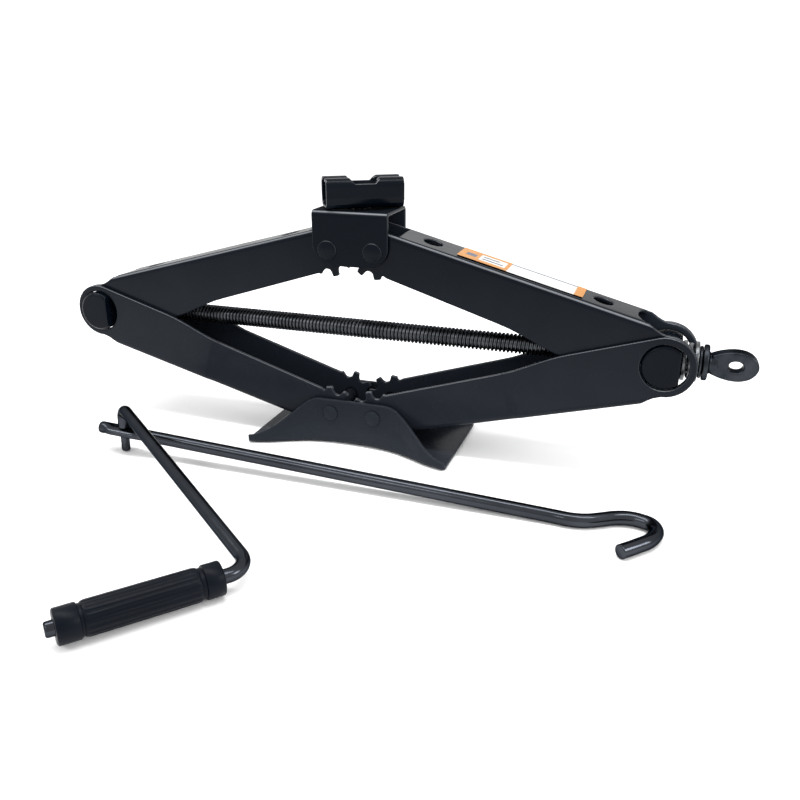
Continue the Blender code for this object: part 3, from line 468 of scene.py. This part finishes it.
# The trunnion pieces take the painted-shade coat all over, with painted light inside.
TRUNNION_PAINT = paint(
    "trunnion_black_paint", UPPER_PAINTED_SHADE, INSIDE_PAINTED_LIGHT, BASE_EDGE_WEAR_AND_HIGHLIGHT, PAINT_SPECULAR
)
ROD_PAINT = rod_paint()
BEARING = bearing_steel()
OILED = oiled_steel(
    "oiled_steel", (0.018, 0.021, 0.026), (0.034, 0.038, 0.044), (0.10, 0.105, 0.11)
)
ROLLED = oiled_steel(
    "rolled_steel", (0.040, 0.043, 0.048), (0.075, 0.080, 0.088), (0.36, 0.37, 0.39)
)
PLASTIC = grip_plastic()
FILM_ORANGE = printed_film("film_orange", (0.42, 0.17, 0.030), (0.38, 0.17, 0.040))
FILM_WHITE = printed_film("film_white", (0.55, 0.55, 0.54), (0.50, 0.50, 0.49))
FILM_GREY = printed_film("film_grey", (0.05, 0.065, 0.10), (0.08, 0.095, 0.13))

SLOT_FINISH = {
    "black_paint": PAINT,
    "zinc_steel": BEARING,
    "oiled_steel": OILED,
    "black_plastic": PLASTIC,
    "label_film": FILM_WHITE,
}
for node, slot in slots.items():
    mesh = nodes[node].data
    mesh.materials.clear()
    mesh.materials.append(SLOT_FINISH[slot])
for node in ("base_plate", "base_pivot_pin_left", "base_pivot_pin_right"):
    nodes[node].data.materials[0] = BASE_PAINT
for node in ("trunnion_nut", "trunnion_block"):
    nodes[node].data.materials[0] = TRUNNION_PAINT
nodes["top_bracket"].data.materials[0] = BRACKET_PAINT


# --- Softened CAD pieces ----------------------------------------------------------------


def even_out(obj, voxel, passes):
    """Rounds a piece's edges and blends its joins, by a fine even mesh smoothed a little."""
    even = obj.modifiers.new("even", "REMESH")
    even.mode = "VOXEL"
    even.voxel_size = voxel
    even.use_smooth_shade = True
    smooth = obj.modifiers.new("smooth", "SMOOTH")
    smooth.factor = 0.5
    smooth.iterations = passes


for node, (voxel, passes) in SOFTENED.items():
    weld = nodes[node].modifiers.new("weld", "WELD")
    weld.merge_threshold = 0.000001
    even_out(nodes[node], voxel, passes)


# --- Mesh helpers -----------------------------------------------------------------------


def put(name, bm, finishes, body, node, sharp=35.0):
    """The mesh as a piece that rides on the body and stands for the node."""
    bmesh.ops.recalc_face_normals(bm, faces=bm.faces)
    mesh = bpy.data.meshes.new(name)
    bm.to_mesh(mesh)
    bm.free()
    mesh.shade_smooth()
    mesh.set_sharp_from_angle(angle=radians(sharp))
    for finish in finishes:
        mesh.materials.append(finish)
    obj = bpy.data.objects.new(name, mesh)
    bpy.context.scene.collection.objects.link(obj)
    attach(obj, body)
    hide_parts(node)
    return obj


def circle(steps):
    """Directions once round a circle, as (cosine, sine) pairs."""
    turns = [2 * pi * k / steps for k in range(steps)]
    return [(cos(turn), sin(turn)) for turn in turns]


def join_rings(bm, first, second):
    """Faces between two rings. A ring of one point closes the other to a cone."""
    count = max(len(first), len(second))
    for i in range(count):
        j = (i + 1) % count
        if len(first) == 1:
            bm.faces.new((first[0], second[i], second[j]))
        elif len(second) == 1:
            bm.faces.new((first[i], first[j], second[0]))
        else:
            bm.faces.new((first[i], first[j], second[j], second[i]))


def turned(bm, profile, place, steps=64):
    """Adds a solid of revolution about the place's X axis, from (along, radius) pairs."""
    rings = []
    for along, radius in profile:
        if radius == 0:
            rings.append([bm.verts.new(place @ Vector((along, 0, 0)))])
            continue
        ring = []
        for level, rise in circle(steps):
            at = Vector((along, radius * level, radius * rise))
            ring.append(bm.verts.new(place @ at))
        rings.append(ring)
    for first, second in zip(rings, rings[1:]):
        join_rings(bm, first, second)
    if len(rings[0]) > 1:
        join_rings(bm, rings[-1], rings[0])


def sweep(bm, route, sizes, steps=ROD_SIDES):
    """Adds a bar along the route. Each size is the bar's half width across and its half height."""
    rings = []
    side = None
    for i, point in enumerate(route):
        ahead = (route[min(i + 1, len(route) - 1)] - route[max(i - 1, 0)]).normalized()
        if side is None:
            up = Vector((0, 0, 1)) if abs(ahead.z) < 0.9 else Vector((0, 1, 0))
            side = up.cross(ahead).normalized()
        side = (side - ahead * side.dot(ahead)).normalized()
        lift = ahead.cross(side)
        wide, high = sizes[i]
        ring = []
        for level, rise in circle(steps):
            at = point + side * (wide * level) + lift * (high * rise)
            ring.append(bm.verts.new(at))
        rings.append(ring)
    for first, second in zip(rings, rings[1:]):
        join_rings(bm, first, second)
    bm.faces.new(rings[0])
    bm.faces.new(rings[-1])


def rounded_corner(before, corner, after, radius, steps):
    """Points of the arc that rounds a corner between two straight runs."""
    to_before = (before - corner).normalized()
    to_after = (after - corner).normalized()
    half = to_before.angle(to_after) / 2
    centre = corner + (to_before + to_after).normalized() * (radius / sin(half))
    start = corner + to_before * (radius / sin(half) * cos(half)) - centre
    end = corner + to_after * (radius / sin(half) * cos(half)) - centre
    total = start.angle(end)
    points = []
    for k in range(steps + 1):
        share = k / steps
        swing = start * sin(total * (1 - share)) + end * sin(total * share)
        points.append(centre + swing / sin(total))
    return points


def smooth_curve(points, per_span):
    """A Catmull-Rom curve through the points."""
    padded = [points[0] * 2 - points[1]] + points + [points[-1] * 2 - points[-2]]
    curve = []
    for i in range(1, len(padded) - 2):
        a, b, c, d = padded[i - 1:i + 3]
        for k in range(per_span):
            t = k / per_span
            cubic = (3 * b - a - 3 * c + d) * t ** 3
            square = (2 * a - 5 * b + 4 * c - d) * t * t
            curve.append((2 * b + (c - a) * t + square + cubic) * 0.5)
    curve.append(points[-1])
    return curve


# --- Lead screw -------------------------------------------------------------------------


def thread(bm, start, end, centre_z):
    """A thread of one start along X, its crests at the screw's radius."""
    levels = len(THREAD_PROFILE)
    turns = int((end - start) / THREAD_PITCH) - 1
    rows = turns * levels
    grid = {}
    for k in range(THREAD_SIDES):
        angle = 2 * pi * k / THREAD_SIDES
        for i in range(rows + levels + 1):
            along = start + THREAD_PITCH * (i / levels + k / THREAD_SIDES)
            depth = THREAD_DEPTH * (1 - THREAD_PROFILE[i % levels])
            radius = SCREW_RADIUS - depth
            at = (along, -radius * cos(angle), centre_z + radius * sin(angle))
            grid[k, i] = bm.verts.new(at)
    for k in range(THREAD_SIDES - 1):
        for i in range(rows):
            bm.faces.new((grid[k, i], grid[k + 1, i], grid[k + 1, i + 1], grid[k, i + 1]))
    last = THREAD_SIDES - 1
    for i in range(rows):
        ahead = i + levels
        bm.faces.new((grid[last, i], grid[0, ahead], grid[0, ahead + 1], grid[last, i + 1]))
    loose = [vert for vert in bm.verts if not vert.link_faces]
    bmesh.ops.delete(bm, geom=loose, context="VERTS")


def eye_outline():
    """Smooth closed teardrop round the eye's hole, as (along, height) from the hole's centre."""
    upper = [Vector(point) for point in EYE_EDGE]
    lower = [Vector((x, -z)) for x, z in reversed(EYE_EDGE)]
    return smooth_curve(upper + [Vector((EYE_TIP, 0))] + lower, EYE_CURVE_STEPS)


def eye(bm, centre):
    """The forged eye: a fat ring whose section is a rounded box, about a hole along Y."""
    rings = []
    for point in eye_outline():
        angle = atan2(point.y, point.x)
        inner = Vector((EYE_HOLE[0] * cos(angle), EYE_HOLE[1] * sin(angle)))
        ring = []
        for level, rise in circle(EYE_SECTION_STEPS):
            out = abs(level) ** EYE_ROUNDING * (1 if level > 0 else -1)
            deep = abs(rise) ** EYE_ROUNDING * (1 if rise > 0 else -1)
            at = inner.lerp(point, 0.5 + 0.5 * out)
            ring.append(bm.verts.new(centre + Vector((at.x, deep * EYE_HALF_THICKNESS, at.y))))
        rings.append(ring)
    for i, ring in enumerate(rings):
        join_rings(bm, ring, rings[(i + 1) % len(rings)])


def lead_screw():
    """The rolled thread with its plain left end, and the forging with collar, neck and eye."""
    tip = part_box("lead_screw")[0][0]
    spin = Vector(joints["screw_spin"]["pos_m"])
    line = Matrix.Translation((0, 0, spin.z))
    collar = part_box("thrust_washer")[1][0] + COLLAR_GAP
    neck = collar + COLLAR_THICKNESS
    eye_x = spin.x + EYE_AHEAD
    neck_end = eye_x - EYE_NECK_END

    bm = bmesh.new()
    thread(bm, tip + THREAD_START, collar - THREAD_STOP, spin.z)
    tip_end = tip + TIP_LENGTH
    plain = SCREW_RADIUS - THREAD_DEPTH + TIP_ABOVE_ROOT
    chamfer, deep = TIP_CHAMFER
    turned(bm, [
        (tip, 0), (tip, plain - deep), (tip + chamfer, plain),
        (tip_end - TIP_SHOULDER, plain), (tip_end, 0),
    ], line)
    put("lead_screw_thread", bm, [ROLLED], "screw", "lead_screw", 40)

    bm = bmesh.new()
    shank = collar - SHANK_LENGTH
    turned(bm, [
        (shank, 0), (shank, SCREW_RADIUS), (collar, SCREW_RADIUS),
        (collar, COLLAR_RADIUS - COLLAR_LEFT_BEVEL), (collar + COLLAR_LEFT_BEVEL, COLLAR_RADIUS),
        (neck - COLLAR_RIGHT_BEVEL, COLLAR_RADIUS), (neck, COLLAR_RADIUS - COLLAR_RIGHT_BEVEL),
        *((neck + along, NECK_RADIUS + above) for along, above in NECK_FILLET),
        (neck_end, NECK_RADIUS - NECK_TAPER), (neck_end, 0),
    ], line)
    eye(bm, Vector((eye_x, 0, spin.z)))
    forging = put("lead_screw_eye", bm, [OILED], "screw", "lead_screw")
    even_out(forging, FORGING_VOXEL, FORGING_PASSES)


def ball_bearing():
    """The thrust bearing's cage with its balls."""
    low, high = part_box("ball_cage")
    spin = Vector(joints["screw_spin"]["pos_m"])
    middle = (low[0] + high[0]) / 2
    left, right = middle - CAGE_HALF_THICKNESS, middle + CAGE_HALF_THICKNESS
    inner, outer = BALL_CIRCLE - CAGE_HALF_WIDTH, BALL_CIRCLE + CAGE_HALF_WIDTH
    bm = bmesh.new()
    turned(bm, [
        (left, inner), (left, outer), (right, outer), (right, inner),
    ], Matrix.Translation((0, 0, spin.z)), CAGE_STEPS)
    for k in range(BALLS):
        angle = 2 * pi * (k + 0.5) / BALLS
        at = (middle, BALL_CIRCLE * cos(angle), spin.z + BALL_CIRCLE * sin(angle))
        bmesh.ops.create_uvsphere(
            bm, u_segments=24, v_segments=16, radius=BALL_RADIUS, matrix=Matrix.Translation(at)
        )
    put("thrust_bearing_balls", bm, [BEARING], "ball_cage", "ball_cage")


# --- Label ------------------------------------------------------------------------------


def label():
    """The sticker: an orange field with a plain panel, a white field and an orange end."""
    low, high = (Vector(corner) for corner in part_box("rating_label"))
    slope = atan2(high.z - low.z - LABEL_FILM, high.x - low.x)
    along = Vector((cos(slope), 0, -sin(slope)))
    normal = Vector((sin(slope), 0, cos(slope)))
    start = Vector((low.x, 0, high.z - LABEL_FILM * cos(slope)))
    length = (high.x - low.x) / cos(slope)
    depth = high.y - low.y
    bm = bmesh.new()
    for first, last, near, far, thickness, film in LABEL_PANELS:
        rings = []
        for lift in (0.0, thickness):
            ring = []
            for share, across in ((first, near), (last, near), (last, far), (first, far)):
                at = start + along * (length * share) + normal * lift
                ring.append(bm.verts.new(at + Vector((0, low.y + depth * across, 0))))
            rings.append(ring)
        bottom, top = rings
        faces = [bm.faces.new(bottom), bm.faces.new(top)]
        for i in range(4):
            j = (i + 1) % 4
            faces.append(bm.faces.new((bottom[i], bottom[j], top[j], top[i])))
        for face in faces:
            face.material_index = film
    films = [FILM_ORANGE, FILM_WHITE, FILM_GREY]
    put("label_film", bm, films, "upper_arm_right", "rating_label", 20)


# --- Crank handle -----------------------------------------------------------------------


def rod_eye():
    """The middle of the rod's eye and the pin's direction up."""
    fold = joints["crank_fold"]
    return Vector(fold["pos_m"]), Vector(fold["axis"]).normalized()


def grip_line():
    """The corner where the lever turns into the grip, and the grip's direction."""
    spin = joints["grip_spin"]
    out = Vector(spin["axis"]).normalized()
    return Vector(spin["pos_m"]) - out * (GRIP_START + GRIP_LENGTH / 2), out


def crank_lever():
    """The lever: a pin down through the rod's eye, a shoulder, two bends and the grip's core."""
    hinge, up = rod_eye()
    corner, out = grip_line()
    foot = hinge - up * PIN_BELOW
    top = hinge + up * LEVER_RISE
    far = corner + out * (GRIP_START + GRIP_LENGTH + GRIP_STUB)
    stations = [(foot + up * rise, PIN_RADIUS * share) for rise, share in PIN_END]
    stations += [(hinge + up * (SHOULDER + rise), radius) for rise, radius in SHOULDER_STEPS]
    bends = rounded_corner(foot, top, corner, LEVER_BEND, BEND_STEPS)
    bends += rounded_corner(top, corner, far, GRIP_BEND, BEND_STEPS)
    stations += [(point, LEVER_RADIUS) for point in bends]
    stations += [(far - out * back, LEVER_RADIUS * share) for back, share in LEVER_END]
    bm = bmesh.new()
    sweep(bm, [point for point, _ in stations], [(radius, radius) for _, radius in stations])
    put("crank_lever_bent_rod", bm, [ROD_PAINT], "crank", "crank_lever")


def bored(bm, centre, axis, radius):
    """The mesh with a round hole through it along the axis."""
    turn = axis.to_track_quat("X", "Z").to_matrix().to_4x4()
    hole = bmesh.new()
    turned(hole, [
        (-BORE_REACH, 0), (-BORE_REACH, radius), (BORE_REACH, radius), (BORE_REACH, 0),
    ], Matrix.Translation(centre) @ turn)
    solids = []
    for shape in (bm, hole):
        bmesh.ops.recalc_face_normals(shape, faces=shape.faces)
        mesh = bpy.data.meshes.new("bored")
        shape.to_mesh(mesh)
        shape.free()
        solids.append(bpy.data.objects.new("bored", mesh))
        bpy.context.scene.collection.objects.link(solids[-1])
    cut = solids[0].modifiers.new("hole", "BOOLEAN")
    cut.solver = "EXACT"
    cut.object = solids[1]
    result = bmesh.new()
    result.from_object(solids[0], bpy.context.evaluated_depsgraph_get())
    for solid in solids:
        bpy.data.objects.remove(solid)
    return result


def flattened(place):
    """The rod's half width and half height at a place along it from the middle of its eye."""
    wide, thin = FLAT_SIZE
    flat = min(max((FLAT_REACH - abs(place)) / FLAT_BLEND, 0.0), 1.0)
    flat = flat * flat * (3 - 2 * flat)
    return ROD_RADIUS + (wide - ROD_RADIUS) * flat, ROD_RADIUS + (thin - ROD_RADIUS) * flat


def hook_rod():
    """The rod: a rounded stub, its flattened and bored eye, a straight run and the hook."""
    hinge, up = rod_eye()
    along = (HOOK_START - hinge).normalized()
    route = []
    sizes = []
    for ahead, share in ROD_EYE_END:
        route.append(hinge - along * (ROD_STUB - ahead))
        sizes.append((ROD_RADIUS * share, ROD_RADIUS * share))
    for k in range(FLAT_STEPS + 1):
        place = FLAT_START + FLAT_SPAN * k / FLAT_STEPS
        route.append(hinge + along * place)
        sizes.append(flattened(place))
    middle, late = (hinge + along * distance for distance in ROD_STRAIGHT)
    hook = [HOOK_START] + [Vector((x, y, HOOK_START.z)) for x, y in HOOK_ROUTE]
    curve = smooth_curve([late] + hook, HOOK_STEPS)[HOOK_STEPS // 2:]
    for point in [middle] + curve:
        route.append(point)
        sizes.append((ROD_RADIUS, ROD_RADIUS))
    last = (curve[-1] - curve[-2]).normalized()
    for ahead, share in ROD_HOOK_END:
        route.append(curve[-1] + last * ahead)
        sizes.append((ROD_RADIUS * share, ROD_RADIUS * share))
    bm = bmesh.new()
    sweep(bm, route, sizes)
    bm = bored(bm, hinge, up, PIN_RADIUS + PIN_GAP)
    put("hook_rod_bar", bm, [ROD_PAINT], "hook_rod", "hook_rod")


def grip_profile():
    """The sleeve's section, as (along, radius, share of the ribs' height)."""
    hole = LEVER_RADIUS + GRIP_CLEARANCE
    rim = GRIP_RADIUS
    end = GRIP_LENGTH
    near_collar = [
        (0.0, hole, 0), (0.0, hole + 0.0012, 0), (0.0, rim - 0.0008, 0),
        (0.0002, rim - 0.0003, 0), (0.0007, rim, 0), (0.0083, rim, 0),
        (0.0088, rim - 0.0003, 0), (0.0091, GRIP_GROOVE, 0), (0.0108, GRIP_GROOVE, 0),
    ]
    waist = [
        (0.0111, GRIP_WAIST - 0.0002, 0), (0.0116, GRIP_WAIST, 0), (0.0122, GRIP_WAIST, 0.6),
        (0.0134, GRIP_WAIST, 1), (0.030, GRIP_WAIST, 1), (0.046, GRIP_WAIST, 1),
        (end - 0.0144, GRIP_WAIST, 1), (end - 0.0132, GRIP_WAIST, 0.6),
        (end - 0.0126, GRIP_WAIST, 0), (end - 0.0121, GRIP_WAIST - 0.0002, 0),
    ]
    far_collar = [
        (end - 0.0118, GRIP_GROOVE, 0), (end - 0.0106, GRIP_GROOVE, 0),
        (end - 0.0103, rim - 0.0003, 0), (end - 0.0098, rim, 0), (end - 0.0009, rim, 0),
        (end - 0.0003, rim - 0.0003, 0), (end, rim - 0.0009, 0), (end, hole + 0.0008, 0),
        (end, hole, 0),
    ]
    return near_collar + waist + far_collar


def grip():
    """The moulded sleeve, with a collar at each end and flat-topped ribs along its waist."""
    up = rod_eye()[1]
    corner, out = grip_line()
    side = up.cross(out).normalized()
    turn = Matrix((out, side, out.cross(side))).transposed().to_4x4()
    place = Matrix.Translation(corner + out * GRIP_START) @ turn
    steps = GRIP_RIBS * GRIP_RIB_STEPS
    bm = bmesh.new()
    rings = []
    for along, radius, ribbed in grip_profile():
        ring = []
        for k, (level, rise) in enumerate(circle(steps)):
            wave = cos(2 * pi * k / GRIP_RIB_STEPS)
            rib = min(max(0.5 + 1.4 * wave, 0.0), 1.0) * GRIP_RIB_HEIGHT * ribbed
            size = radius + rib
            ring.append(bm.verts.new(place @ Vector((along, size * level, size * rise))))
        rings.append(ring)
    for first, second in zip(rings, rings[1:]):
        join_rings(bm, first, second)
    join_rings(bm, rings[-1], rings[0])
    put("grip_sleeve", bm, [PLASTIC], "grip", "grip")


lead_screw()
ball_bearing()
label()
crank_lever()
hook_rod()
grip()


# --- Camera, light and floor ------------------------------------------------------------


def aim(obj, target):
    """Turns the object's -Z axis to the target."""
    ahead = Vector(target) - obj.location
    obj.rotation_euler = ahead.to_track_quat("-Z", "Y").to_euler()


def area_light(name, at, size, power, aimed=True):
    """A rectangular lamp that faces the jack, or straight down if it is not aimed."""
    data = bpy.data.lights.new(name, "AREA")
    data.shape = "RECTANGLE"
    data.size, data.size_y = size
    data.energy = power
    lamp = bpy.data.objects.new(name, data)
    bpy.context.scene.collection.objects.link(lamp)
    lamp.location = at
    if aimed:
        aim(lamp, LAMP_TARGET)


def pale_floor():
    """A wide, plain floor just under the jack's feet."""
    mesh = bpy.data.meshes.new("floor")
    half = FLOOR_SIZE / 2
    corners = [(-half, -half, 0), (half, -half, 0), (half, half, 0), (-half, half, 0)]
    mesh.from_pydata(corners, [], [(0, 1, 2, 3)])
    floor = bpy.data.objects.new("floor", mesh)
    floor.location.z = min(cad_low[2], 0.0) - FLOOR_GAP
    bpy.context.scene.collection.objects.link(floor)
    made, _, shader = node_material("pale_floor")
    shader.inputs["Base Color"].default_value = (FLOOR_WHITE, FLOOR_WHITE, FLOOR_WHITE, 1.0)
    shader.inputs["Roughness"].default_value = FLOOR_ROUGHNESS
    mesh.materials.append(made)


def studio_light():
    """Even white surroundings, a key from the right, lamps behind and in front, a strip above."""
    world = bpy.data.worlds.new("studio")
    world.use_nodes = True
    background = world.node_tree.nodes["Background"]
    background.inputs["Color"].default_value = (1.0, 1.0, 1.0, 1.0)
    background.inputs["Strength"].default_value = WORLD_STRENGTH
    bpy.context.scene.world = world

    area_light("key", *KEY_LAMP)
    area_light("back", *BACK_LAMP)
    area_light("strip", *STRIP_LAMP, aimed=False)
    area_light("front", *FRONT_LAMP)
    bpy.context.scene.view_settings.view_transform = "Standard"


def camera():
    """The camera at the front right, a little above the saddle."""
    data = bpy.data.cameras.new("camera")
    data.lens = CAMERA_LENS
    data.sensor_width = CAMERA_SENSOR
    data.clip_start = CAMERA_NEAR
    view = bpy.data.objects.new("camera", data)
    bpy.context.scene.collection.objects.link(view)
    view.location = CAMERA_AT
    aim(view, CAMERA_TARGET)
    view.rotation_euler.rotate_axis("Z", radians(CAMERA_ROLL))
    bpy.context.scene.camera = view


pale_floor()
studio_light()
camera()
